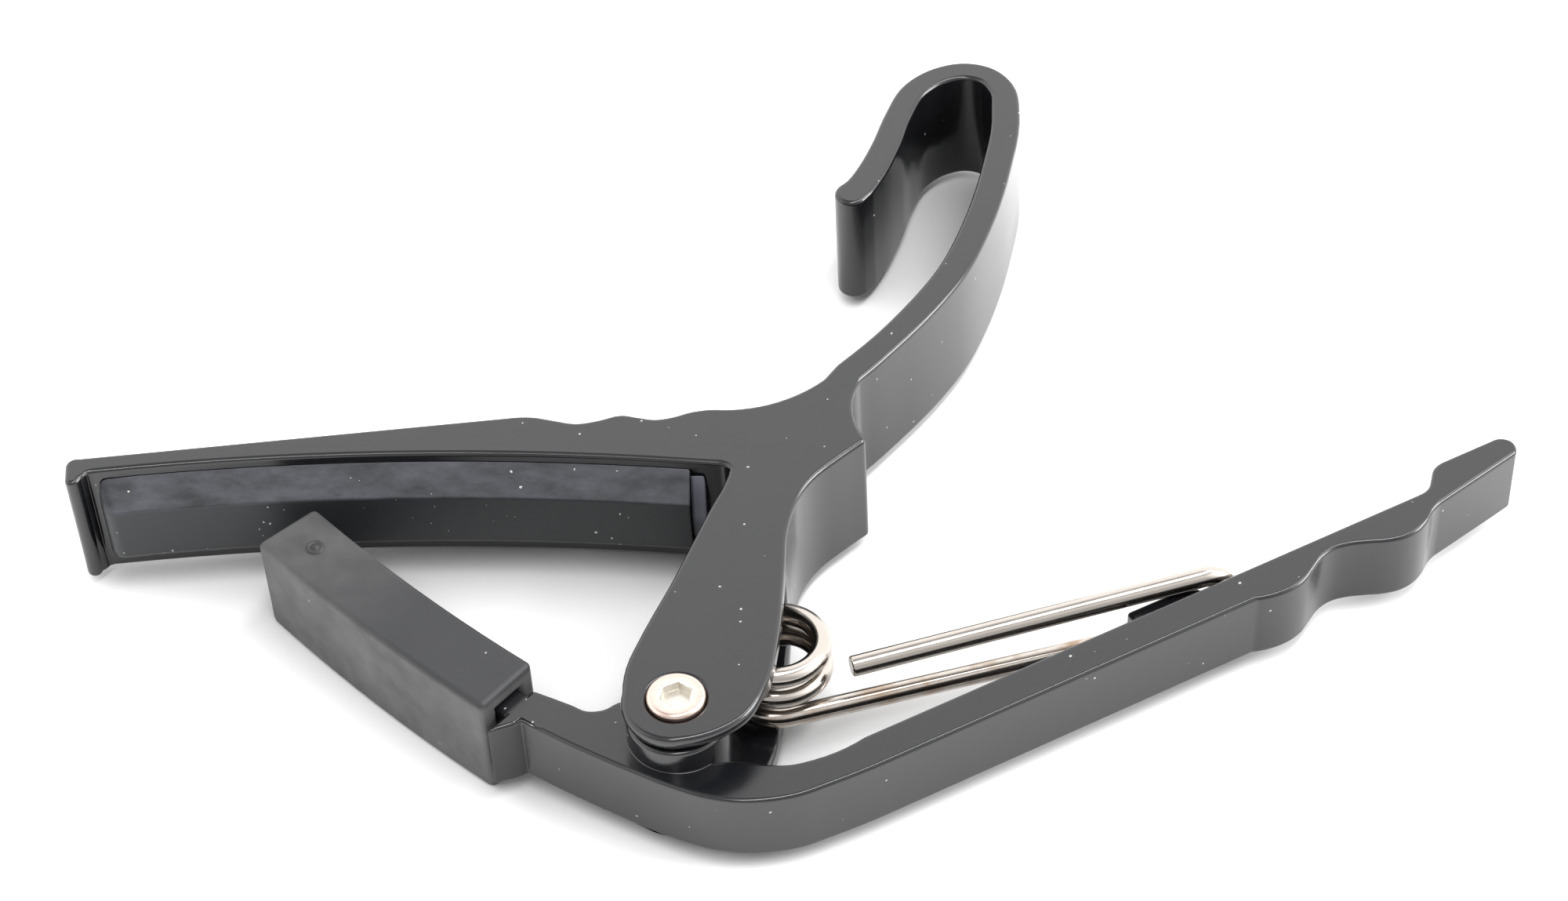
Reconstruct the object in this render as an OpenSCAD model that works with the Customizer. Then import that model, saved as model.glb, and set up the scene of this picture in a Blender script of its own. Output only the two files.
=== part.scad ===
// Guitar capo of the trigger type, lying on its side.
// +Z runs along the pivot screw, and +X runs along the fretting bar towards the handles.
// The origin is on the pivot axis, in the plane of the frame's lower face.
// The jaws are closed: squeezing the handles turns the lever about +Z and opens them.

/* [Frame] */
// Thickness of the frame casting
body_h = 13; // [11.5:0.1:16]
// Pivot axis to the free end of the fretting bar
bar_l = 59.3; // [49:0.1:71.2]
// Pivot axis to the highest point of the bar's face
reach = 30.3; // [29:0.1:37]
// Radius of the fretboard that the bar's face follows
fret_r = 240; // [180:1:400]
// Thickness of the bar at its free end
bar_end_t = 2.1; // [1.6:0.1:3]
// Thickness of the bar at the finger grooves
bar_root_t = 4.8; // [4:0.1:6.5]
// Width of the lip at the bar's free end
lip_w = 2.2; // [1.7:0.1:2.8]
// Height of the lip above the bar's face
lip_h = 1.5; // [1:0.1:2.2]
// Length of the curved tail, from the bar's back to the top of its hook
tail_l = 51.5; // [43:0.1:62]
// Thickness of the tail at its hook
tail_t = 3; // [2.4:0.1:3.8]
// Thickness of each ear of the fork
ear_t = 2.1; // [1.7:0.05:2.6]
// Radius of the ears' round end
ear_r = 4.9; // [4.5:0.1:5.4]

/* [Fret pad] */
// Height of the pad's back, across the bar
pad_h = 11; // [9:0.1:11.4]
// Height of the pad's flat front
pad_front_h = 5.8; // [4.8:0.1:7]
// How far the pad stands out of the bar's face
pad_proud = 2.4; // [1.8:0.1:3]
// Length of the thin flap at the fork end
pad_flap_l = 1.4; // [1:0.1:2]

/* [Lever] */
// Thickness of the lever casting
lever_h = 7.5; // [6.2:0.1:9]
// Gap from the frame's upper face down to the lever's
lever_drop = 4.7; // [4:0.1:5.5]
// Length of the handle, along itself, from the pivot axis to its tip
handle_l = 84.6; // [76:0.1:102]
// Width of the handle's bar, seen along the pivot
handle_w = 3.6; // [3:0.1:4.4]
// Radius of the pivot boss
boss_r = 4.65; // [4:0.05:4.8]
// Width of the jaw arm inside the sleeve
jaw_w = 3; // [2.4:0.1:3.8]
// Length of the spring lug on the handle
lug_l = 7.5; // [6:0.1:8.4]

/* [Neck sleeve] */
// Length of the rubber sleeve
sleeve_l = 30.6; // [25:0.1:32.5]
// Width of the sleeve, seen along the pivot
sleeve_w = 6.7; // [5.6:0.1:7.2]
// Height of the sleeve at its open end
sleeve_h = 11.4; // [9.6:0.1:12.2]
// How much lower the sleeve is at its tip
sleeve_taper = 0.7; // [0:0.1:1.2]
// Thickness of the sleeve's closed end
sleeve_end = 2.5; // [1.5:0.1:4]
// Gap from the sleeve's tip to the pad when the jaws are closed
jaw_gap = 0.8; // [0.3:0.05:1.5]

/* [Pivot] */
// Diameter of the screw's shank
shank_d = 3.6; // [3:0.05:4.2]
// Diameter of the screw's head
head_d = 5.3; // [5:0.1:6]
// Height of the head
head_h = 1.3; // [1:0.1:1.6]
// Width of the hexagon socket across its flats
hex_w = 2.5; // [2:0.1:3]
// Diameter of the nut
nut_d = 5.6; // [5.3:0.1:6.2]

/* [Spring] */
// Diameter of the spring wire
wire_d = 1.95; // [1.5:0.05:2.1]
// Mean radius of the coil
coil_r = 4.45; // [4.1:0.05:4.8]
// Full turns of the coil before its last part turn
coil_turns = 2; // [1:1:2]
// Length of the anchored short arm
short_arm_l = 9; // [6:0.1:9.5]

/* [Hidden] */
$fn = 96;
eps = 0.01;
paint = [0.12, 0.12, 0.13];
rubber = [0.24, 0.24, 0.25];
silicone = [0.3, 0.31, 0.34];
nickel = [0.8, 0.77, 0.72];
copper = [0.86, 0.7, 0.62];
// Clearances: the shank in the boss, the boss between the ears, and moving parts elsewhere
run_gap = 0.05;
side_gap = 0.05;
free_gap = 0.3;

// ---- Curves ----
function unit(v) = v / norm(v);
function plan(p) = [p[0], p[1]];
// Unit tangent at point i of a list, weighted so that it is right on a circle
function inner_tangent(p, i) = let (
        a = plan(p[i] - p[i - 1]),
        b = plan(p[i + 1] - p[i])
    ) unit(a * norm(b) / norm(a) + b * norm(a) / norm(b));
function end_tangent(chord, next) = unit(2 * unit(chord) * (unit(chord) * next) - next);
function tangent(p, i) =
    i == 0 ? end_tangent(plan(p[1] - p[0]), inner_tangent(p, 1)) :
    i == len(p) - 1 ? end_tangent(plan(p[i] - p[i - 1]), inner_tangent(p, i - 1)) :
    inner_tangent(p, i);
// A smooth curve through the points, n steps to a span; a third value is carried along
function curve(p, n = 6) = [
    for (i = [0 : len(p) - 2])
        let (a = p[i], b = p[i + 1], s = norm(plan(b - a)), ta = tangent(p, i) * s, tb = tangent(p, i + 1) * s)
            for (k = [0 : i == len(p) - 2 ? n : n - 1])
                let (t = k / n, h = t * t * (3 - 2 * t))
                    concat(
                        plan(a) * (1 - h) + plan(b) * h + ta * t * (1 - t) * (1 - t) - tb * t * t * (1 - t),
                        len(a) > 2 ? [a[2] * (1 - h) + b[2] * h] : []
                    )
];
function arc(c, r, from, to, n = 12) = [
    for (k = [0 : n]) c + r * [cos(from + (to - from) * k / n), sin(from + (to - from) * k / n)]
];
// The two sides of a strip whose centre line carries its width as a third value
function along(p, i) = unit(plan(p[min(i + 1, len(p) - 1)] - p[max(i - 1, 0)]));
function side(p, s) = [
    for (i = [0 : len(p) - 1]) plan(p[i]) + s * p[i][2] / 2 * [-along(p, i)[1], along(p, i)[0]]
];
function reverse(p) = [for (i = [len(p) - 1 : -1 : 0]) p[i]];

// ---- The bar's face and the pad on it ----
// The face is an arc of the fretboard's radius, highest at face_x
face_x = -24;
function face_y(x) = reach - fret_r + sqrt(fret_r * fret_r - (x - face_x) * (x - face_x));
face_steps = 14;
pad_x0 = lip_w - bar_l + 0.5;
pad_x1 = -0.4;
pad_z0 = (body_h - pad_h) / 2;
function face_line(x0, x1, n) = [for (k = [0 : n]) let (x = x0 + (x1 - x0) * k / n) [x, face_y(x)]];

// ---- The frame's outline, clockwise from the free end of the bar ----
end_y = face_y(-bar_l);
bar_back = curve([
    [-bar_l, end_y + 1.1], [-bar_l + 0.2, end_y + bar_end_t - 0.2], [-bar_l + 1.3, end_y + bar_end_t + 0.2]
], 3);
grooves = [for (p = [
    [-18, 0.1], [-15.6, 0.2], [-13.4, -0.3], [-11.4, -0.7], [-9.4, -0.3], [-7.2, 0.4], [-5.6, 0.1],
    [-4, -0.2], [-2.4, 0.1], [-0.6, 0.8], [1, 1.1], [3.4, 1.1], [6.6, 1.75], [10.1, 3.6], [11.8, 5.1]
]) [p[0], reach + bar_root_t + p[1]]];
// Centre line of the tail: place, height above the bar's back, and width over tail_t
tail_y = reach + 5.9;
tail_points = [
    [14.2, 4.9, 1.06], [18.1, 9.7, 1], [21.3, 14.3, 1], [24, 19.1, 1], [26.4, 25.7, 1],
    [28.5, 34.8, 1], [29.5, 43.5, 1], [29.1, 47.4, 0.94], [27.7, 49.4, 0.88], [25.4, 50.2, 0.88],
    [22.9, 49.6, 0.9], [20.2, 47.3, 0.94], [18.5, 43.2, 0.95], [17.3, 38.6, 1], [15.4, 33.3, 1.05],
    [14.3, 31.2, 1.1]
];
tail_line = curve([for (p = tail_points) [p[0], tail_y + p[1] * tail_l / 51.5, p[2] * tail_t]], 5);
// The tail ends in a small bead that flicks outwards
bead_c = plan(tail_line[len(tail_line) - 1]) - [0.35, 0.25];
bead_r = 0.58 * tail_t;
function outside_bead(p) = [for (q = p) if (norm(q - bead_c) > 1.1 * bead_r) q];
ridge = [16.1, reach + 1.6];
tail_root = curve([
    side(tail_line, -1)[0], [14.7, reach + 7.2], [14.9, reach + 4.6], [15.4, reach + 3], ridge
], 5);
ear_right = curve([
    ridge, [13.8, reach - 0.6], [11.2, reach - 3.5], [9.8, reach - 6.3], [9.2, reach - 9],
    [9, reach - 15], [8.7, 7.3], [7.9, 1.8], [6.3, -1.9], [4.4, -3.5], ear_r * [sin(18), -cos(18)]
], 5);
ear_left = curve([for (p = [
    [-4.85, 0.8], [-4.7, 3.7], [-3.75, 7], [-2.7, 10], [-1.45, 13.3], [-0.1, 17.3], [1, 20.7], [2, 23.7],
    [2.8, 25.8], [3.4, 28.2]
]) [p[0] * ear_r / 4.9, p[1] * reach / 30.3]], 3);
inner_corner = curve([ear_left[len(ear_left) - 1], [3.1, face_y(2) - 0.3], [2.2, face_y(2)]], 4);
lip_r = 0.34 * lip_w;
lip_top = [-bar_l + lip_w, face_y(-bar_l + lip_w)];
lip = concat(
    arc(lip_top + [0.4, -0.4], 0.4, 90, 180, 5),
    arc([-bar_l + 0.45 * lip_w, lip_top[1] - lip_h + lip_r], lip_r, 0, -180, 8)
);
frame_outline = concat(
    bar_back,
    curve(grooves, 4),
    outside_bead(side(tail_line, 1)),
    arc(bead_c, bead_r, -28, -234, 14),
    reverse(outside_bead(side(tail_line, -1))),
    [for (i = [1 : len(tail_root) - 1]) tail_root[i]],
    [for (i = [1 : len(ear_right) - 1]) ear_right[i]],
    arc([0, 0], ear_r, -90, -190, 12),
    [for (i = [1 : len(ear_left) - 1]) ear_left[i]],
    [for (i = [1 : len(inner_corner) - 1]) inner_corner[i]],
    face_line(pad_x1, pad_x0, face_steps),
    lip
);

// ---- Where the spring and the lever stand ----
slot_z0 = ear_t;
slot_z1 = body_h - ear_t;
coil_c = [7.9, 10.15];
wire_r = wire_d / 2;
coil_space = coil_r + wire_r + free_gap;
// Heights of the two legs of the spring's hairpin
leg_z0 = 1.5;
leg_z1 = 7.6;
lever_z1 = body_h - lever_drop;
lever_z0 = lever_z1 - lever_h;
lever_mid = (lever_z0 + lever_z1) / 2;

// The opening between the ears: the lever's space and a round pocket for the coil
module fork_slot() {
    translate([0, 0, slot_z0]) linear_extrude(slot_z1 - slot_z0) {
        translate([-20, -20]) square([40, 20 + coil_c[1]]);
        translate(coil_c) circle(coil_space);
        translate(coil_c) square([20, coil_space]);
    }
}

// Groove in the fork's root that holds the spring's short arm
module anchor_groove() {
    translate([coil_c[0] - coil_r - wire_r, coil_c[1], slot_z1 - wire_d - 2 * side_gap])
        cube([wire_d, short_arm_l + 0.2, wire_d + 2 * side_gap]);
}

module upper_frame() {
    color(paint) difference() {
        linear_extrude(body_h) polygon(frame_outline);
        fork_slot();
        anchor_groove();
        translate([0, 0, -1]) cylinder(d = shank_d, h = body_h + 2);
        translate([0, 0, body_h + head_proud - head_h]) cylinder(d = head_d, h = head_h);
        translate([0, 0, -1]) cylinder(d = nut_d, h = nut_h + 1);
    }
}

// ---- Fret pad: a bar of trapezoid section that follows the face ----
pad_ends = face_line(pad_x0, pad_x1, face_steps);
pad_front_z0 = (body_h - pad_front_h) / 2;
function pad_section(p, set_in = 0) = [
    [p[0], p[1], pad_z0], [p[0], p[1], pad_z0 + pad_h],
    [p[0] + set_in, p[1] - pad_proud, pad_front_z0 + pad_front_h],
    [p[0] + set_in, p[1] - pad_proud, pad_front_z0]
];
// Skin of a bar swept through sections that have the same number of corners
module swept(sections) {
    m = len(sections[0]);
    n = len(sections);
    polyhedron(
        points = [for (s = sections) for (p = s) p],
        faces = concat(
            [[for (j = [0 : m - 1]) j]],
            [[for (j = [m - 1 : -1 : 0]) (n - 1) * m + j]],
            [for (i = [0 : n - 2]) for (j = [0 : m - 1])
                let (a = i * m + j, b = i * m + (j + 1) % m) [a, a + m, b + m]],
            [for (i = [0 : n - 2]) for (j = [0 : m - 1])
                let (a = i * m + j, b = i * m + (j + 1) % m) [a, b + m, b]]
        ),
        convexity = 8
    );
}

module fret_pad() {
    color(silicone) {
        swept([for (p = pad_ends) pad_section(p, p[0] == pad_x0 ? 1.1 : 0)]);
        // The flap is a low ridge in section
        translate([pad_x1 - eps, face_y(pad_x1), body_h / 2]) rotate([90, 0, 90])
            linear_extrude(pad_flap_l) polygon([
                pad_proud * [-0.12, 0] + [0, 0.6 - pad_h / 2], pad_proud * [-0.12, 0] + [0, pad_h / 2 - 0.6],
                pad_proud * [-0.62, 0] + [0, 0.7], pad_proud * [-0.62, 0] - [0, 0.7]
            ]);
    }
}

// ---- Jaw arm: an arc inside the sleeve, from the shoulder to the tip ----
// It is hollow towards the neck, and its tip stops short of the pad's front
jaw_root = [-15.5, 3.9];
jaw_arc_r = 205;
jaw_end_y = face_y(jaw_root[0] - 0.7 * sleeve_l) - pad_proud - jaw_gap - sleeve_w / 2 * sin(45);
jaw_half = sleeve_l / 2 / jaw_arc_r * 180 / PI;
jaw_a = 180 - asin((jaw_end_y - jaw_root[1]) / (2 * jaw_arc_r * sin(jaw_half))) + jaw_half;
function jaw_heading(s) = jaw_a - s / jaw_arc_r * 180 / PI;
// Point at distance s from the shoulder and o to the outside of the centre line
function on_jaw(s, o = 0) = let (a = jaw_heading(s))
    jaw_root + jaw_arc_r * [sin(jaw_a) - sin(a), cos(a) - cos(jaw_a)] + o * [-sin(a), cos(a)];
function jaw_side(s0, s1, o) = [for (k = [0 : 8]) on_jaw(s0 + (s1 - s0) * k / 8, o)];

// ---- Handle: u runs along it from the pivot's foot, v across it towards the frame ----
handle_a = 30;
handle_in = -8.45;
handle_out = handle_in - handle_w;
function on_handle(u, v) = [u * cos(handle_a) - v * sin(handle_a), u * sin(handle_a) + v * cos(handle_a)];
function along_handle(p) = [for (q = p) on_handle(q[0], q[1])];
// Shoulder that stops the sleeve, then the arm to the bend under the pivot
shoulder_s = -0.9;
shoulder = [on_jaw(shoulder_s - 1.3, 2.1), on_jaw(shoulder_s, sleeve_w / 2 + 0.7)];
arm_outer = curve([
    [-14.2, 1.4], [-9.4, -1.5], [-4.6, -4.1], [-0.3, -6.2], [2.7, -7.3], [5.4, -7.75], [8.1, -7.65],
    [10.7, -7.1], [13.6, -5.8], on_handle(16, handle_out)
], 5);
arm_inner = curve([
    on_jaw(shoulder_s, -2.2), [-9.8, 3.4], [-8.4, 2.7], [-7.1, 2.8], [-5.4, 3.8], [-3.6, 3.6]
], 5);
bend_inner = curve([
    [3, -3.4], [5.4, -3.1], [7.7, -3.45], [9.8, -3.5], [11.9, -2.9], on_handle(14, handle_in)
], 5);
tip_inner = curve([for (p = [
    [-11.6, handle_in], [-10.4, -8.2], [-9.4, -7.3], [-8.5, -6.4], [-7.2, -6.05]
]) [handle_l + p[0], p[1]]], 4);
tip_nose = curve([for (p = [
    [-1.7, -6.05], [-0.6, -6.3], [0, -7.1], [-0.1, -8], [-0.8, -8.7]
]) [handle_l + p[0], p[1]]], 4);
// Two finger crests with a groove between them
crests = curve([for (p = [
    [-10.4, -10.45], [-11.6, -10.9], [-12.8, -11.7], [-14.2, -12.3], [-15.8, -12.45], [-17.3, -12.1],
    [-19.1, -11.3], [-20.6, -10.7], [-22.2, -10.4], [-23.8, -10.7], [-25.3, -11.5], [-26.8, -12.3],
    [-28.4, -12.65], [-30.2, -12.55], [-32, handle_out]
]) [handle_l + p[0], p[1]]], 4);
lever_outline = concat(
    reverse(jaw_side(shoulder_s, sleeve_l - sleeve_end, -jaw_w / 2)),
    arm_inner,
    bend_inner,
    along_handle(tip_inner),
    along_handle(tip_nose),
    along_handle(crests),
    reverse(arm_outer),
    shoulder,
    jaw_side(shoulder_s, sleeve_l - sleeve_end, jaw_w / 2)
);
// The lower ear's round end sweeps through this space as the lever turns
ear_sweep = [[0, 0], [2.95, -0.45]];
sweep_r = ear_r + free_gap;

module lever() {
    color(paint) difference() {
        union() {
            translate([0, 0, lever_z0]) linear_extrude(lever_h) polygon(lever_outline);
            translate([0, 0, slot_z0 + side_gap]) cylinder(r = boss_r, h = slot_z1 - slot_z0 - 2 * side_gap);
            lug();
        }
        translate([0, 0, lever_z0 - 1]) linear_extrude(slot_z0 + side_gap - lever_z0 + 1) {
            for (c = ear_sweep) translate(c) circle(sweep_r);
            polygon([
                [-2, -sweep_r + 0.3], [0.5, -sweep_r - 0.15], [3, -sweep_r - 0.3], [12, 1], [9, 9],
                [-6, 7], [-sweep_r - 0.1, 1]
            ]);
        }
        translate([0, 0, -1]) cylinder(d = shank_d + 2 * run_gap, h = body_h + 2);
    }
}

// Lug on the handle's inner face, between the legs of the spring's hairpin
lug_u = 42.5;
lug_h = 2.3;
lug_z0 = leg_z0 + wire_r + 0.75;
lug_z1 = leg_z1 - wire_r - 0.1;
module lug() {
    translate([0, 0, lug_z0]) linear_extrude(lug_z1 - lug_z0) polygon(along_handle([
        [lug_u, handle_in - 1], [lug_u, handle_in + lug_h], [lug_u + lug_l - 2, handle_in + lug_h],
        [lug_u + lug_l, handle_in + lug_h - 0.8], [lug_u + lug_l, handle_in - 1]
    ]));
}

// ---- Neck sleeve: a rubber block with a pocket for the jaw arm ----
function sleeve_section(s) = let (
        z0 = lever_mid - sleeve_h / 2,
        z1 = lever_mid + sleeve_h / 2 - sleeve_taper * s / sleeve_l,
        a = on_jaw(s, sleeve_w / 2),
        b = on_jaw(s, -sleeve_w / 2)
    ) [
        [a[0], a[1], z0], [a[0], a[1], z1], [b[0], b[1], z1], [b[0], b[1], z0]
    ];
module neck_sleeve() {
    color(rubber) difference() {
        swept([for (k = [0 : 10]) sleeve_section(sleeve_l * k / 10)]);
        translate([0, 0, lever_z0]) linear_extrude(lever_h) polygon(concat(
            jaw_side(shoulder_s, sleeve_l - sleeve_end, -jaw_w / 2),
            reverse(jaw_side(shoulder_s, sleeve_l - sleeve_end, jaw_w / 2))
        ));
    }
}

// ---- Pivot screw and nut ----
head_proud = 0.5;
hex_depth = 0.9;
nut_h = 1.3;
module pivot_screw() {
    color(copper) difference() {
        union() {
            cylinder(d = shank_d, h = body_h + head_proud - eps);
            translate([0, 0, body_h + head_proud - head_h]) cylinder(d = head_d, h = head_h);
        }
        translate([0, 0, body_h + head_proud - hex_depth]) rotate(24)
            cylinder(d = hex_w / cos(30), h = hex_depth + 1, $fn = 6);
    }
}

module pivot_nut() {
    color(nickel) difference() {
        cylinder(d = nut_d, h = nut_h);
        translate([0, 0, -1]) cylinder(d = shank_d, h = nut_h + 2);
    }
}

// ---- Torsion spring: one wire, coil and short arm on the frame, hairpin on the lever ----
coil_z0 = slot_z0 + wire_r + 0.5;
coil_z1 = slot_z1 - side_gap - wire_r;
// The hairpin bears on the handle at this place
bend_tip = on_handle(53.2, handle_in + wire_r + 0.1);
bend_r = (leg_z1 - leg_z0) / 2;
free_leg_l = 33.2;
to_tip = bend_tip - coil_c;
leg_a = atan2(to_tip[1], to_tip[0]) + asin(coil_r / norm(to_tip));
leg_dir = [cos(leg_a), sin(leg_a), 0];
leg_side = [-sin(leg_a), cos(leg_a), 0];
leg_l = sqrt(to_tip * to_tip - coil_r * coil_r) - bend_r;
leg_foot = [coil_c[0] + coil_r * sin(leg_a), coil_c[1] - coil_r * cos(leg_a), coil_z0];
bend_c = [leg_foot[0], leg_foot[1], leg_z0 + bend_r] + leg_dir * leg_l;
// The free leg runs back a little above the first one, seen along the pivot
free_a = leg_a - 0.7;
free_end = bend_c + [-cos(free_a) * free_leg_l, -sin(free_a) * free_leg_l, bend_r];
wire_sides = 10;
function ring(c, out, up) = [
    for (j = [0 : wire_sides - 1]) c + wire_r * (cos(360 * j / wire_sides) * out + sin(360 * j / wire_sides) * up)
];
z_axis = [0, 0, 1];

// The open coil climbs clockwise from the leg's foot to the short arm
coil_travel = leg_a + 90 + 360 * coil_turns;
coil_rings = round(coil_travel / 15);
function coil_ring(k) = let (
        a = leg_a - 90 - coil_travel * k / coil_rings,
        z = coil_z0 + (coil_z1 - coil_z0) * k / coil_rings,
        out = [cos(a), sin(a), 0]
    ) ring([coil_c[0], coil_c[1], z] + coil_r * out, out, z_axis);

module spring_coil() {
    short_foot = [coil_c[0] - coil_r, coil_c[1], coil_z1];
    color(nickel) swept(concat(
        [for (k = [0 : coil_rings]) coil_ring(k)],
        [ring(short_foot + [0, short_arm_l, 0], [-1, 0, 0], z_axis)]
    ));
}

module spring_arm() {
    bend_rings = 8;
    color(nickel) swept(concat(
        [ring(leg_foot, leg_side, z_axis)],
        [for (k = [0 : bend_rings]) let (t = 180 * k / bend_rings)
            ring(bend_c + bend_r * (sin(t) * leg_dir - cos(t) * z_axis), leg_side,
                cos(t) * z_axis - sin(t) * leg_dir)],
        [ring(free_end, leg_side, -z_axis)]
    ));
}

upper_frame();
fret_pad();
lever();
neck_sleeve();
pivot_screw();
pivot_nut();
spring_coil();
spring_arm();
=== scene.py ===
import math

import bmesh
import bpy
from mathutils import Matrix, Vector


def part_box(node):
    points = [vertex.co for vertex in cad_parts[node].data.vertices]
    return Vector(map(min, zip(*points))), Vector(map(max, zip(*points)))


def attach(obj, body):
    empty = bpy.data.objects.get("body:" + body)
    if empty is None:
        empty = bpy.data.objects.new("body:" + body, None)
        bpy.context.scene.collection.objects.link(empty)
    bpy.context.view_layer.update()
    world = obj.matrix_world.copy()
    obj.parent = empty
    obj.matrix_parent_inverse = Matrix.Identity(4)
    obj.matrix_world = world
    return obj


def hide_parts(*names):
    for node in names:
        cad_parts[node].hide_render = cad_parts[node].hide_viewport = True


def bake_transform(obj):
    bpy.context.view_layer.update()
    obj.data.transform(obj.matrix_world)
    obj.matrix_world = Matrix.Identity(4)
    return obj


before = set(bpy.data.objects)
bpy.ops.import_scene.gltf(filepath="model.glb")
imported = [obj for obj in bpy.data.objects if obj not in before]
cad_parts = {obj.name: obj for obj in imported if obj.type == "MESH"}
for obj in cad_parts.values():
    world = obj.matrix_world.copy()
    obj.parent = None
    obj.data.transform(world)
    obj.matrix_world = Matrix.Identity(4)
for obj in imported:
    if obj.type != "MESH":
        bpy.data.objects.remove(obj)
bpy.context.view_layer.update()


# ---- Camera ----
# The capo is seen from in front and above, 45 degrees down, from about a forearm's length away.
# The view leans a little, so the fretting bar rises towards the right.
aim = Vector((0.00742, 0.04342, 0))
distance = 0.3492
heading, tilt, lean = math.radians(4.2987), math.radians(45), math.radians(-3.284)
looking = Vector((-math.sin(heading) * math.cos(tilt), math.cos(heading) * math.cos(tilt), -math.sin(tilt)))
bpy.ops.object.camera_add()
camera = bpy.context.object
camera.name = "camera"
camera.matrix_world = (Matrix.Translation(aim - distance * looking)
                       @ looking.to_track_quat("-Z", "Y").to_matrix().to_4x4()
                       @ Matrix.Rotation(lean, 4, "Z"))
camera.data.lens = 81.388
camera.data.sensor_width = 36
camera.data.clip_start = 0.01
bpy.context.scene.camera = camera


# ---- White table and studio light ----
# A white sheet lies under the capo and runs far past the view, with painted shade that darkens it close to the
# capo.
# White walls light it all round, weaker from the front, and a long strip lamp overhead draws the
# bright lines along the edges.
def add_node(tree, kind, **values):
    made = tree.nodes.new(kind)
    for name, value in values.items():
        setattr(made, name, value)
    return made


bpy.ops.mesh.primitive_plane_add(size=6, location=(0, 0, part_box("neck_sleeve")[0].z))
table = bpy.context.object
table.name = "table"
paper = bpy.data.materials.new("white_paper")
paper.use_nodes = True
sheet = paper.node_tree.nodes["Principled BSDF"]
# Painted shade: the sheet's colour darkens wherever the capo is close, standing in for its shadow
painted_shade_near_capo = add_node(paper.node_tree, "ShaderNodeAmbientOcclusion")
painted_shade_near_capo.inputs["Color"].default_value = (0.9, 0.9, 0.9, 1)
painted_shade_near_capo.inputs["Distance"].default_value = 0.02
softer = add_node(paper.node_tree, "ShaderNodeGamma")
softer.inputs["Gamma"].default_value = 0.45
paper.node_tree.links.new(painted_shade_near_capo.outputs["Color"], softer.inputs["Color"])
paper.node_tree.links.new(softer.outputs["Color"], sheet.inputs["Base Color"])
sheet.inputs["Roughness"].default_value = 0.7
sheet.inputs["Specular IOR Level"].default_value = 0.2
table.data.materials.append(paper)


def soft_box(name, place, size, power):
    """A rectangular lamp that points at the capo."""
    bpy.ops.object.light_add(type="AREA", location=place)
    lamp = bpy.context.object
    lamp.name = name
    lamp.data.shape = "RECTANGLE"
    lamp.data.size, lamp.data.size_y = size
    lamp.data.energy = power
    lamp.rotation_euler = (Vector((0, 0.02, 0)) - Vector(place)).to_track_quat("-Z", "Y").to_euler()


soft_box("strip_lamp", (0.2, -0.1, 0.9), (1.4, 0.14), 9)
soft_box("window", (1.1, 0.1, 0.6), (0.6, 0.5), 14)

room = bpy.data.worlds.new("white_room")
room.use_nodes = True
walls = room.node_tree
way = add_node(walls, "ShaderNodeTexCoord")
parts = add_node(walls, "ShaderNodeSeparateXYZ")
height = add_node(walls, "ShaderNodeMapRange", interpolation_type="SMOOTHSTEP")
height.inputs["From Min"].default_value = 0.72
height.inputs["From Max"].default_value = 0.92
height.inputs["To Min"].default_value = 2.2
height.inputs["To Max"].default_value = 0.7
back = add_node(walls, "ShaderNodeMapRange", interpolation_type="SMOOTHSTEP")
back.inputs["From Min"].default_value = -0.75
back.inputs["From Max"].default_value = -0.25
back.inputs["To Min"].default_value = 0.4
back.inputs["To Max"].default_value = 1
glow = add_node(walls, "ShaderNodeMath", operation="MULTIPLY")
walls.links.new(way.outputs["Generated"], parts.inputs[0])
walls.links.new(parts.outputs["Z"], height.inputs["Value"])
walls.links.new(parts.outputs["Y"], back.inputs["Value"])
walls.links.new(height.outputs["Result"], glow.inputs[0])
walls.links.new(back.outputs["Result"], glow.inputs[1])
walls.links.new(glow.outputs[0], walls.nodes["Background"].inputs["Strength"])
walls.nodes["Background"].inputs["Color"].default_value = (1, 1, 1, 1)
bpy.context.scene.world = room
bpy.context.scene.view_settings.view_transform = "Standard"


# ---- Upper frame ----
# One metal casting with every edge rounded, painted semi-gloss black. It holds the fretting bar,
# the fork and the curved tail. Dust has settled on it.
def copy_of(node, name):
    """A copy of one of the frame's nodes as whole faces, selected and in object mode."""
    bpy.ops.object.select_all(action="DESELECT")
    piece = bpy.data.objects.new(name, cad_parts[node].data.copy())
    piece.data.materials.clear()
    bpy.context.collection.objects.link(piece)
    piece.select_set(True)
    bpy.context.view_layer.objects.active = piece
    bpy.ops.object.mode_set(mode="EDIT")
    bpy.ops.mesh.select_all(action="SELECT")
    bpy.ops.mesh.remove_doubles(threshold=0.000002)
    bpy.ops.mesh.dissolve_limited(angle_limit=math.radians(0.6))
    bpy.ops.object.mode_set(mode="OBJECT")
    return piece


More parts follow.
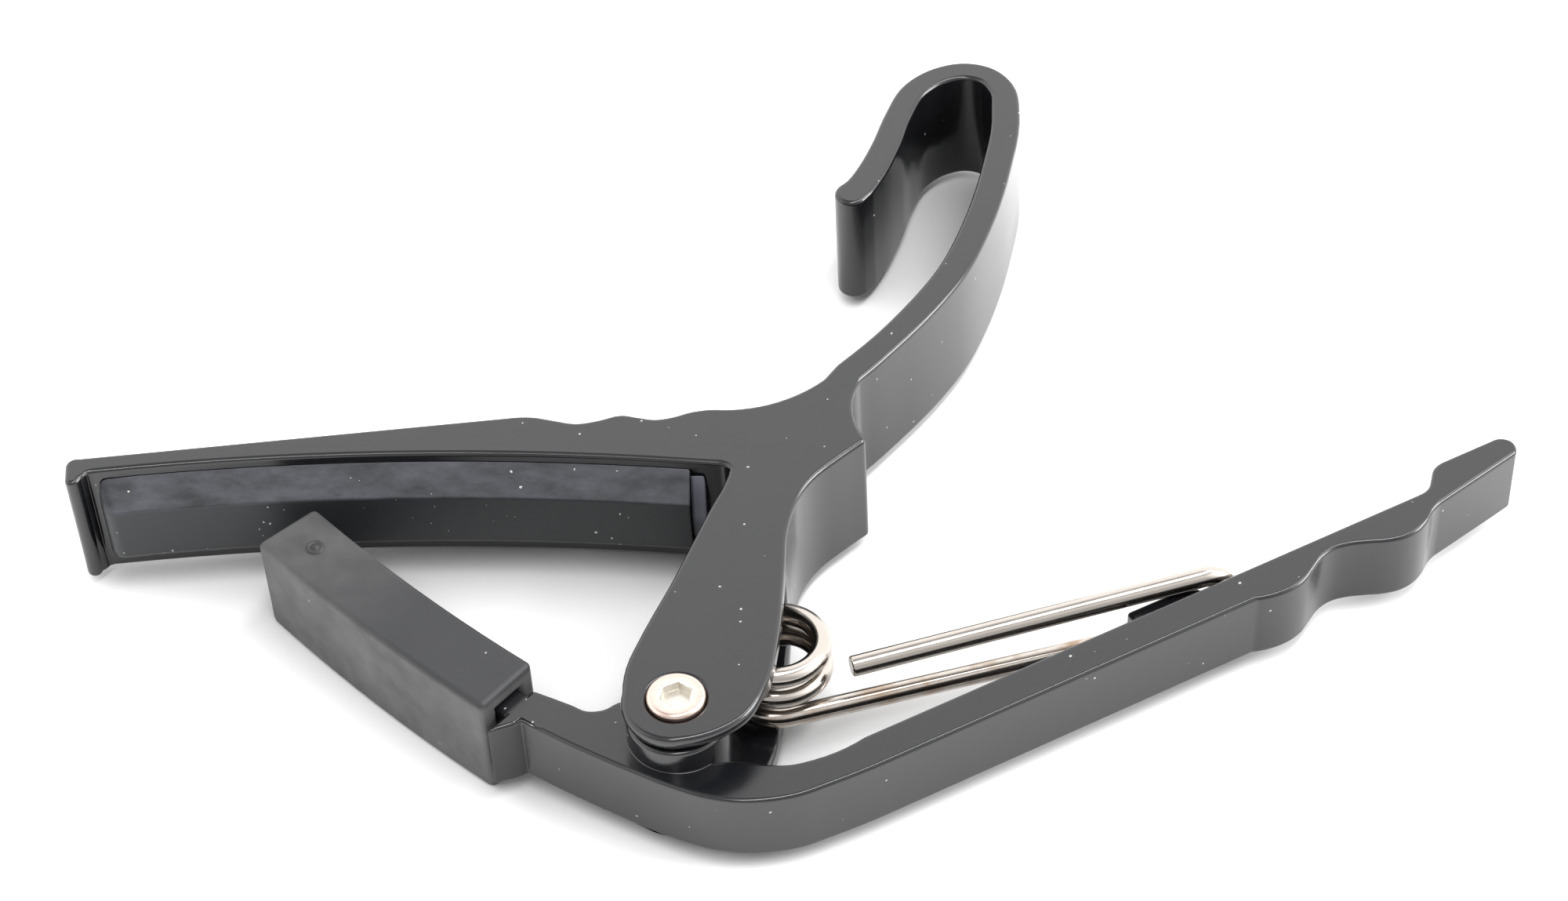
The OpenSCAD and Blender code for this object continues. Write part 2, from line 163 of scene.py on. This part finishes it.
def round_edges(piece, radius, angle=32, inner=0.3):
    """Rounds every sharp edge of the piece, inner corners less, and smooths its shading."""
    bpy.context.view_layer.objects.active = piece
    shape = bmesh.new()
    shape.from_mesh(piece.data)
    share = shape.edges.layers.float.new("bevel_weight_edge")
    for edge in shape.edges:
        if len(edge.link_faces) == 2 and edge.calc_face_angle() > math.radians(angle):
            edge[share] = 1 if edge.is_convex else inner
    shape.to_mesh(piece.data)
    shape.free()
    rounding = piece.modifiers.new("rounding", "BEVEL")
    rounding.width = radius
    rounding.segments = 4
    rounding.limit_method = "WEIGHT"
    rounding.use_clamp_overlap = False
    bpy.ops.object.modifier_apply(modifier=rounding.name)
    bpy.ops.object.shade_smooth_by_angle(angle=math.radians(40))
    weights = piece.modifiers.new("weights", "WEIGHTED_NORMAL")
    weights.keep_sharp = True
    bpy.ops.object.modifier_apply(modifier=weights.name)


# Dust: small specks of uneven shape where the surface passes close to a scattered point
dust = bpy.data.node_groups.new("dust", "ShaderNodeTree")
for name, value in (("Spacing", 0.002), ("Size", 0.0001), ("Share", 0.5)):
    dust.interface.new_socket(name, in_out="INPUT", socket_type="NodeSocketFloat").default_value = value
dust.interface.new_socket("Mask", in_out="OUTPUT", socket_type="NodeSocketFloat")
given = add_node(dust, "NodeGroupInput")
out = add_node(dust, "NodeGroupOutput")
place = add_node(dust, "ShaderNodeTexCoord")
crumple = add_node(dust, "ShaderNodeTexNoise")
crumple.inputs["Scale"].default_value = 4500
crumple.inputs["Detail"].default_value = 1
centred = add_node(dust, "ShaderNodeVectorMath", operation="SUBTRACT")
centred.inputs[1].default_value = (0.5, 0.5, 0.5)
shift = add_node(dust, "ShaderNodeVectorMath", operation="SCALE")
shift.inputs["Scale"].default_value = 0.0002
moved = add_node(dust, "ShaderNodeVectorMath", operation="ADD")
per_metre = add_node(dust, "ShaderNodeMath", operation="DIVIDE")
per_metre.inputs[0].default_value = 1
cells = add_node(dust, "ShaderNodeTexVoronoi")
reach = add_node(dust, "ShaderNodeMath", operation="MULTIPLY")
pick = add_node(dust, "ShaderNodeSeparateColor")
share = add_node(dust, "ShaderNodeMath", operation="LESS_THAN")
size = add_node(dust, "ShaderNodeMath", operation="MULTIPLY")
near = add_node(dust, "ShaderNodeMath", operation="LESS_THAN")
both = add_node(dust, "ShaderNodeMath", operation="MULTIPLY")
for a, b in (
        (place.outputs["Object"], crumple.inputs["Vector"]), (crumple.outputs["Color"], centred.inputs[0]),
        (centred.outputs[0], shift.inputs[0]), (place.outputs["Object"], moved.inputs[0]),
        (shift.outputs[0], moved.inputs[1]), (moved.outputs[0], cells.inputs["Vector"]),
        (given.outputs["Spacing"], per_metre.inputs[1]), (per_metre.outputs[0], cells.inputs["Scale"]),
        (cells.outputs["Distance"], reach.inputs[0]), (given.outputs["Spacing"], reach.inputs[1]),
        (cells.outputs["Color"], pick.inputs[0]), (pick.outputs["Red"], share.inputs[0]),
        (given.outputs["Share"], share.inputs[1]), (given.outputs["Size"], size.inputs[0]),
        (pick.outputs["Green"], size.inputs[1]), (reach.outputs[0], near.inputs[0]),
        (size.outputs[0], near.inputs[1]), (near.outputs[0], both.inputs[0]),
        (share.outputs[0], both.inputs[1]), (both.outputs[0], out.inputs["Mask"])):
    dust.links.new(a, b)


def black_paint(name, gloss):
    """Black paint with a faint orange peel and dust. Gloss is its middle roughness."""
    paint = bpy.data.materials.new(name)
    paint.use_nodes = True
    tree = paint.node_tree
    shader = tree.nodes["Principled BSDF"]
    shader.inputs["Specular IOR Level"].default_value = 0.61
    place = add_node(tree, "ShaderNodeTexCoord")
    cloud = add_node(tree, "ShaderNodeTexNoise")
    cloud.inputs["Scale"].default_value = 120
    cloud.inputs["Detail"].default_value = 5
    rough = add_node(tree, "ShaderNodeMapRange")
    rough.inputs["To Min"].default_value = gloss - 0.06
    rough.inputs["To Max"].default_value = gloss + 0.06
    peel = add_node(tree, "ShaderNodeTexNoise")
    peel.inputs["Scale"].default_value = 1100
    peel.inputs["Detail"].default_value = 3
    bump = add_node(tree, "ShaderNodeBump")
    bump.inputs["Strength"].default_value = 0.3
    bump.inputs["Distance"].default_value = 0.00002
    specks = add_node(tree, "ShaderNodeGroup", node_tree=dust)
    specks.inputs["Spacing"].default_value = 0.0015
    specks.inputs["Size"].default_value = 0.00013
    specks.inputs["Share"].default_value = 0.75
    colour = add_node(tree, "ShaderNodeMix", data_type="RGBA")
    colour.inputs["A"].default_value = (0.0045, 0.0048, 0.0058, 1)
    colour.inputs["B"].default_value = (0.3, 0.3, 0.29, 1)
    for a, b in (
            (place.outputs["Object"], cloud.inputs["Vector"]), (place.outputs["Object"], peel.inputs["Vector"]),
            (cloud.outputs["Fac"], rough.inputs["Value"]), (rough.outputs["Result"], shader.inputs["Roughness"]),
            (peel.outputs["Fac"], bump.inputs["Height"]), (bump.outputs["Normal"], shader.inputs["Normal"]),
            (specks.outputs["Mask"], colour.inputs["Factor"]),
            (colour.outputs["Result"], shader.inputs["Base Color"])):
        tree.links.new(a, b)
    return paint


def select_points(piece, test):
    """Selects the points whose place passes the test, and leaves the piece in edit mode."""
    bpy.ops.object.mode_set(mode="EDIT")
    bpy.ops.mesh.select_all(action="DESELECT")
    bpy.ops.object.mode_set(mode="OBJECT")
    for point in piece.data.vertices:
        point.select = test(point.co)
    bpy.ops.object.mode_set(mode="EDIT")


upper_frame = copy_of("upper_frame", "upper_frame_casting")
# The upper ear's lower edge has a larger, softer rounding than the rest
ear_under, ear_back, ear_bore = 0.0109, 0.0015, 0.0045
select_points(upper_frame, lambda p: abs(p.z - ear_under) < 1e-5 and p.y < ear_back
              and math.hypot(p.x, p.y) > ear_bore)
bpy.ops.mesh.bevel(offset=0.0015, segments=6, affect="EDGES")
bpy.ops.object.mode_set(mode="OBJECT")
round_edges(upper_frame, 0.00045)
upper_frame.data.materials.append(black_paint("frame_paint", 0.2))
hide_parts("upper_frame")
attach(upper_frame, "frame")


# ---- Lever ----
# The second casting, in the same paint, with the jaw arm, pivot boss, spring lug and handle in one
# piece. It turns on the pivot screw between the frame's two ears.
lever = copy_of("lever", "lever_casting")
round_edges(lever, 0.0004)
lever.data.materials.append(black_paint("lever_paint", 0.2))
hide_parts("lever")
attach(lever, "lever")


# ---- Fret pad ----
# Moulded rubber set in the bar's face. Its upper slope is scuffed to a cloudy, bluish grey, and
# its front corners are rounded. The end flap is painted lighter still, as painted light.
fret_pad = copy_of("fret_pad", "fret_pad_moulding")
left_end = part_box("fret_pad")[0].x
select_points(fret_pad, lambda p: p.x < left_end + 0.0013)
bpy.ops.mesh.bevel(offset=0.0011, segments=6, affect="EDGES")
bpy.ops.object.mode_set(mode="OBJECT")
round_edges(fret_pad, 0.00018, angle=20)

moulded_rubber = bpy.data.materials.new("pad_rubber")
moulded_rubber.use_nodes = True
tree = moulded_rubber.node_tree
shader = tree.nodes["Principled BSDF"]
place = add_node(tree, "ShaderNodeTexCoord")
smears = add_node(tree, "ShaderNodeMapping")
smears.inputs["Scale"].default_value = (1, 2.2, 2.2)
scuffs = add_node(tree, "ShaderNodeTexNoise")
scuffs.inputs["Scale"].default_value = 260
scuffs.inputs["Detail"].default_value = 6
scuffs.inputs["Roughness"].default_value = 0.62
patch = add_node(tree, "ShaderNodeMapRange")
patch.inputs["From Min"].default_value = 0.3
patch.inputs["From Max"].default_value = 0.75
slope = add_node(tree, "ShaderNodeMapRange")
slope.inputs["From Min"].default_value = 0.0092
slope.inputs["From Max"].default_value = 0.0096
worn = add_node(tree, "ShaderNodeMath", operation="MULTIPLY")
spot = add_node(tree, "ShaderNodeSeparateXYZ")
# Painted light: the end flap is lightened past the scuff grey, to brighten a face that sits in shade
flap_painted_light = add_node(tree, "ShaderNodeMapRange")
flap_painted_light.inputs["From Min"].default_value = -0.0004
flap_painted_light.inputs["From Max"].default_value = -0.0001
flap_painted_light.inputs["To Max"].default_value = 2.3
scuffs_and_painted_light = add_node(tree, "ShaderNodeMath", operation="MAXIMUM")
tint = add_node(tree, "ShaderNodeMix", data_type="RGBA")
tint.clamp_factor = False
tint.inputs["A"].default_value = (0.011, 0.0125, 0.014, 1)
tint.inputs["B"].default_value = (0.058, 0.06, 0.072, 1)
specks = add_node(tree, "ShaderNodeGroup", node_tree=dust)
specks.inputs["Spacing"].default_value = 0.0011
specks.inputs["Size"].default_value = 0.00013
specks.inputs["Share"].default_value = 0.8
dusty = add_node(tree, "ShaderNodeMix", data_type="RGBA")
dusty.inputs["B"].default_value = (0.4, 0.4, 0.39, 1)
grain = add_node(tree, "ShaderNodeTexNoise")
grain.inputs["Scale"].default_value = 1600
bump = add_node(tree, "ShaderNodeBump")
bump.inputs["Strength"].default_value = 0.4
bump.inputs["Distance"].default_value = 0.00003
for a, b in (
        (place.outputs["Object"], smears.inputs["Vector"]), (smears.outputs[0], scuffs.inputs["Vector"]),
        (scuffs.outputs["Fac"], patch.inputs["Value"]), (place.outputs["Object"], spot.inputs[0]),
        (spot.outputs["Z"], slope.inputs["Value"]), (spot.outputs["X"], flap_painted_light.inputs["Value"]),
        (patch.outputs["Result"], worn.inputs[0]), (slope.outputs["Result"], worn.inputs[1]),
        (worn.outputs[0], scuffs_and_painted_light.inputs[0]),
        (flap_painted_light.outputs["Result"], scuffs_and_painted_light.inputs[1]), (scuffs_and_painted_light.outputs[0], tint.inputs["Factor"]),
        (tint.outputs["Result"], dusty.inputs["A"]), (specks.outputs["Mask"], dusty.inputs["Factor"]),
        (dusty.outputs["Result"], shader.inputs["Base Color"]), (place.outputs["Object"], grain.inputs["Vector"]),
        (grain.outputs["Fac"], bump.inputs["Height"]), (bump.outputs["Normal"], shader.inputs["Normal"])):
    tree.links.new(a, b)
shader.inputs["Roughness"].default_value = 0.42
shader.inputs["Specular IOR Level"].default_value = 0.4
fret_pad.data.materials.append(moulded_rubber)
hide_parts("fret_pad")
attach(fret_pad, "frame")


# ---- Neck sleeve ----
# A block of soft black rubber pushed over the jaw arm, matte, with a moulding pip near its tip.
# Its sides are painted a lighter, mottled grey than its top, as painted light.
neck_sleeve = copy_of("neck_sleeve", "neck_sleeve_moulding")
round_edges(neck_sleeve, 0.0006)
soft_rubber = bpy.data.materials.new("sleeve_rubber")
soft_rubber.use_nodes = True
tree = soft_rubber.node_tree
shader = tree.nodes["Principled BSDF"]
shader.inputs["Roughness"].default_value = 0.55
shader.inputs["Specular IOR Level"].default_value = 0.45
place = add_node(tree, "ShaderNodeTexCoord")
mottle = add_node(tree, "ShaderNodeTexNoise")
mottle.inputs["Scale"].default_value = 300
mottle.inputs["Detail"].default_value = 6
sleeve_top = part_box("neck_sleeve")[1].z
# Painted light: below the top edge the sides get a lighter, mottled grey for the brighter light they catch
height = add_node(tree, "ShaderNodeSeparateXYZ")
sides_painted_lighter = add_node(tree, "ShaderNodeMapRange")
sides_painted_lighter.inputs["From Min"].default_value = sleeve_top - 0.0003
sides_painted_lighter.inputs["From Max"].default_value = sleeve_top - 0.0009
sides_painted_lighter.inputs["To Min"].default_value = 0.05
sides_painted_lighter.inputs["To Max"].default_value = 1
painted_side_light = add_node(tree, "ShaderNodeMath", operation="MULTIPLY")
tint = add_node(tree, "ShaderNodeMix", data_type="RGBA")
tint.inputs["A"].default_value = (0.011, 0.0115, 0.013, 1)
tint.inputs["B"].default_value = (0.11, 0.11, 0.11, 1)
specks = add_node(tree, "ShaderNodeGroup", node_tree=dust)
specks.inputs["Spacing"].default_value = 0.0021
specks.inputs["Size"].default_value = 0.00014
specks.inputs["Share"].default_value = 0.6
dusty = add_node(tree, "ShaderNodeMix", data_type="RGBA")
dusty.inputs["B"].default_value = (0.22, 0.22, 0.22, 1)
grain = add_node(tree, "ShaderNodeTexNoise")
grain.inputs["Scale"].default_value = 2600
grain.inputs["Detail"].default_value = 2
bump = add_node(tree, "ShaderNodeBump")
bump.inputs["Strength"].default_value = 0.5
bump.inputs["Distance"].default_value = 0.00003
for a, b in (
        (place.outputs["Object"], mottle.inputs["Vector"]), (mottle.outputs["Fac"], painted_side_light.inputs[0]),
        (place.outputs["Object"], height.inputs[0]), (height.outputs["Z"], sides_painted_lighter.inputs["Value"]),
        (sides_painted_lighter.outputs["Result"], painted_side_light.inputs[1]), (painted_side_light.outputs[0], tint.inputs["Factor"]),
        (tint.outputs["Result"], dusty.inputs["A"]), (specks.outputs["Mask"], dusty.inputs["Factor"]),
        (dusty.outputs["Result"], shader.inputs["Base Color"]), (place.outputs["Object"], grain.inputs["Vector"]),
        (grain.outputs["Fac"], bump.inputs["Height"]), (bump.outputs["Normal"], shader.inputs["Normal"])):
    tree.links.new(a, b)
neck_sleeve.data.materials.append(soft_rubber)
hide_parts("neck_sleeve")
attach(neck_sleeve, "lever")

# The pip: a low ring with a nub inside, turned about its axis
pip_x, pip_y = -0.035, 0.0213
bpy.ops.object.select_all(action="DESELECT")
bpy.ops.mesh.primitive_circle_add(vertices=20, radius=0.0009, location=(pip_x, pip_y, sleeve_top - 0.00075))
pip = bpy.context.object
pip.name = "sleeve_pip"
bpy.ops.object.transform_apply(location=True, rotation=False, scale=False)
bpy.ops.object.mode_set(mode="EDIT")
bpy.ops.mesh.select_all(action="SELECT")
for shrink, rise in ((0.9, 0.00032), (0.86, 0.00006), (0.84, -0.00026), (0.66, 0), (0.86, 0.00026), (0.5, 0.00008)):
    bpy.ops.mesh.extrude_region_move(TRANSFORM_OT_translate={"value": (0, 0, rise)})
    bpy.ops.transform.resize(value=(shrink, shrink, 1), center_override=(pip_x, pip_y, sleeve_top))
bpy.ops.mesh.edge_face_add()
bpy.ops.mesh.select_all(action="SELECT")
bpy.ops.mesh.normals_make_consistent(inside=False)
bpy.ops.object.mode_set(mode="OBJECT")
bpy.ops.object.shade_smooth()
pip.data.materials.append(soft_rubber)
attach(pip, "lever")


# ---- Pivot screw and nut ----
# A low socket-head screw with a rolled rim, in nickel plate that has turned coppery at the rim,
# and its plain round nut in the lower ear.
pivot_screw = copy_of("pivot_screw", "pivot_screw_head")
head_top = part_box("pivot_screw")[1].z
select_points(pivot_screw, lambda p: p.z > head_top - 0.00001 and math.hypot(p.x, p.y) > 0.0024)
bpy.ops.mesh.bevel(offset=0.00042, segments=6, affect="EDGES")
bpy.ops.object.mode_set(mode="OBJECT")
round_edges(pivot_screw, 0.00012, angle=40)


def plating(name, centre_tint, rim_tint):
    """Nickel plate whose tint changes from the middle to the rim."""
    plate = bpy.data.materials.new(name)
    plate.use_nodes = True
    tree = plate.node_tree
    shader = tree.nodes["Principled BSDF"]
    shader.inputs["Metallic"].default_value = 1
    place = add_node(tree, "ShaderNodeTexCoord")
    flat = add_node(tree, "ShaderNodeVectorMath", operation="MULTIPLY")
    flat.inputs[1].default_value = (1, 1, 0)
    out_from_middle = add_node(tree, "ShaderNodeVectorMath", operation="LENGTH")
    rim = add_node(tree, "ShaderNodeMapRange", interpolation_type="SMOOTHSTEP")
    rim.inputs["From Min"].default_value = 0.0012
    rim.inputs["From Max"].default_value = 0.0025
    tint = add_node(tree, "ShaderNodeMix", data_type="RGBA")
    tint.inputs["A"].default_value = centre_tint
    tint.inputs["B"].default_value = rim_tint
    wear = add_node(tree, "ShaderNodeTexNoise")
    wear.inputs["Scale"].default_value = 900
    wear.inputs["Detail"].default_value = 5
    rough = add_node(tree, "ShaderNodeMapRange")
    rough.inputs["To Min"].default_value = 0.18
    rough.inputs["To Max"].default_value = 0.42
    bump = add_node(tree, "ShaderNodeBump")
    bump.inputs["Strength"].default_value = 0.5
    bump.inputs["Distance"].default_value = 0.00005
    for a, b in (
            (place.outputs["Object"], flat.inputs[0]), (flat.outputs[0], out_from_middle.inputs[0]),
            (out_from_middle.outputs["Value"], rim.inputs["Value"]), (rim.outputs["Result"], tint.inputs["Factor"]),
            (tint.outputs["Result"], shader.inputs["Base Color"]), (place.outputs["Object"], wear.inputs["Vector"]),
            (wear.outputs["Fac"], rough.inputs["Value"]), (rough.outputs["Result"], shader.inputs["Roughness"]),
            (wear.outputs["Fac"], bump.inputs["Height"]), (bump.outputs["Normal"], shader.inputs["Normal"])):
        tree.links.new(a, b)
    return plate


pivot_screw.data.materials.append(plating("screw_steel", (0.64, 0.61, 0.55, 1), (0.6, 0.47, 0.41, 1)))
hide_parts("pivot_screw")
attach(pivot_screw, "frame")

pivot_nut = copy_of("pivot_nut", "pivot_nut_round")
round_edges(pivot_nut, 0.00015)
pivot_nut.data.materials.append(plating("nut_steel", (0.5, 0.48, 0.45, 1), (0.45, 0.43, 0.4, 1)))
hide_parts("pivot_nut")
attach(pivot_nut, "frame")


# ---- Torsion spring ----
# One length of nickel-plated wire: a short arm held in the frame, an open coil, and a hairpin that
# pushes on the handle. The wire is darker and browner in blotches towards the bottom.
wire_r = 0.000975
coil_centre = Vector((0.0079, 0.01015, 0))
coil_r = 0.00445
foot_z, top_z = 0.003575, 0.009875
leg_z, free_z = 0.0015, 0.0076
short_arm_l, free_leg_l = 0.009, 0.0337
handle_slope = math.radians(30)
tip_along, tip_out = 0.0532, 0.007375
tip = Vector((tip_along * math.cos(handle_slope) + tip_out * math.sin(handle_slope),
              tip_along * math.sin(handle_slope) - tip_out * math.cos(handle_slope), 0))
to_tip = tip - coil_centre
leg_a = math.atan2(to_tip.y, to_tip.x) + math.asin(coil_r / to_tip.length)
leg_way = Vector((math.cos(leg_a), math.sin(leg_a), 0))
upward = Vector((0, 0, 1))
hairpin_r = (free_z - leg_z) / 2
leg_l = math.sqrt(to_tip.length ** 2 - coil_r ** 2) - hairpin_r
travel = leg_a + math.pi / 2 + 4 * math.pi


def wire(name, route):
    """A round wire along the route, closed at both ends."""
    bpy.ops.object.select_all(action="DESELECT")
    line = bpy.data.curves.new(name, "CURVE")
    line.dimensions = "3D"
    run = line.splines.new("POLY")
    run.points.add(len(route) - 1)
    for point, spot in zip(run.points, route):
        point.co = (*spot, 1)
    line.bevel_depth = wire_r
    line.bevel_resolution = 8
    line.use_fill_caps = True
    piece = bpy.data.objects.new(name, line)
    bpy.context.collection.objects.link(piece)
    piece.select_set(True)
    bpy.context.view_layer.objects.active = piece
    bpy.ops.object.convert(target="MESH")
    piece = bpy.context.object
    bpy.ops.object.mode_set(mode="EDIT")
    bpy.ops.mesh.select_all(action="SELECT")
    bpy.ops.mesh.remove_doubles(threshold=0.000002)
    bpy.ops.mesh.normals_make_consistent(inside=False)
    bpy.ops.object.mode_set(mode="OBJECT")
    bpy.ops.object.shade_smooth_by_angle(angle=math.radians(40))
    return piece


def straight(start, end, gap=0.0015):
    count = max(1, round((end - start).length / gap))
    return [start.lerp(end, k / count) for k in range(count + 1)]


def coil_point(k, count):
    turned = leg_a - math.pi / 2 - travel * k / count
    return coil_centre + coil_r * Vector((math.cos(turned), math.sin(turned), 0)) \
        + (foot_z + (top_z - foot_z) * k / count) * upward


coil_route = [coil_point(k, 180) for k in range(181)]
bend_foot = coil_route[0] + leg_way * leg_l + (leg_z - foot_z) * upward
spring = wire("spring_wire", straight(bend_foot, coil_route[0])[:-1] + coil_route
              + straight(coil_route[-1], coil_route[-1] + Vector((0, short_arm_l, 0)))[1:])
bend_centre = bend_foot + hairpin_r * upward
free_a = leg_a - math.radians(0.7)
free_foot = bend_centre + hairpin_r * upward
free_end = free_foot - free_leg_l * Vector((math.cos(free_a), math.sin(free_a), 0))
bend_route = [bend_centre + hairpin_r * (math.sin(t) * leg_way - math.cos(t) * upward)
              for t in (math.pi * k / 28 for k in range(29))]
hairpin = wire("spring_hairpin", bend_route + straight(free_foot, free_end)[1:])
select_points(hairpin, lambda p: (p - free_end).length < 1.05 * wire_r)
bpy.ops.mesh.dissolve_faces()
bpy.ops.mesh.bevel(offset=0.00016, segments=2, affect="EDGES")
bpy.ops.object.mode_set(mode="OBJECT")

nickel = bpy.data.materials.new("spring_wire")
nickel.use_nodes = True
tree = nickel.node_tree
shader = tree.nodes["Principled BSDF"]
shader.inputs["Metallic"].default_value = 1
place = add_node(tree, "ShaderNodeTexCoord")
blotch = add_node(tree, "ShaderNodeTexNoise")
blotch.inputs["Scale"].default_value = 420
blotch.inputs["Detail"].default_value = 6
spread = add_node(tree, "ShaderNodeMapRange")
spread.inputs["From Min"].default_value = 0.42
spread.inputs["From Max"].default_value = 0.68
# Darker, browner blotches towards the bottom of the wire
apart = add_node(tree, "ShaderNodeSeparateXYZ")
low = add_node(tree, "ShaderNodeMapRange")
low.inputs["From Min"].default_value = 0.0058
low.inputs["From Max"].default_value = 0.0035
darker_low_down = add_node(tree, "ShaderNodeMath", operation="MULTIPLY")
tint = add_node(tree, "ShaderNodeMix", data_type="RGBA")
tint.inputs["A"].default_value = (0.44, 0.405, 0.37, 1)
tint.inputs["B"].default_value = (0.3, 0.22, 0.16, 1)
rough = add_node(tree, "ShaderNodeMapRange")
rough.inputs["To Min"].default_value = 0.1
rough.inputs["To Max"].default_value = 0.24
for a, b in (
        (place.outputs["Object"], blotch.inputs["Vector"]), (blotch.outputs["Fac"], spread.inputs["Value"]),
        (place.outputs["Object"], apart.inputs[0]), (apart.outputs["Z"], low.inputs["Value"]),
        (spread.outputs["Result"], darker_low_down.inputs[0]), (low.outputs["Result"], darker_low_down.inputs[1]),
        (darker_low_down.outputs[0], tint.inputs["Factor"]), (tint.outputs["Result"], shader.inputs["Base Color"]),
        (blotch.outputs["Fac"], rough.inputs["Value"]), (rough.outputs["Result"], shader.inputs["Roughness"])):
    tree.links.new(a, b)
spring.data.materials.append(nickel)
hairpin.data.materials.append(nickel)

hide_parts("spring_coil")
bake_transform(spring)
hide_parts("spring_arm")
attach(hairpin, "spring_arm")
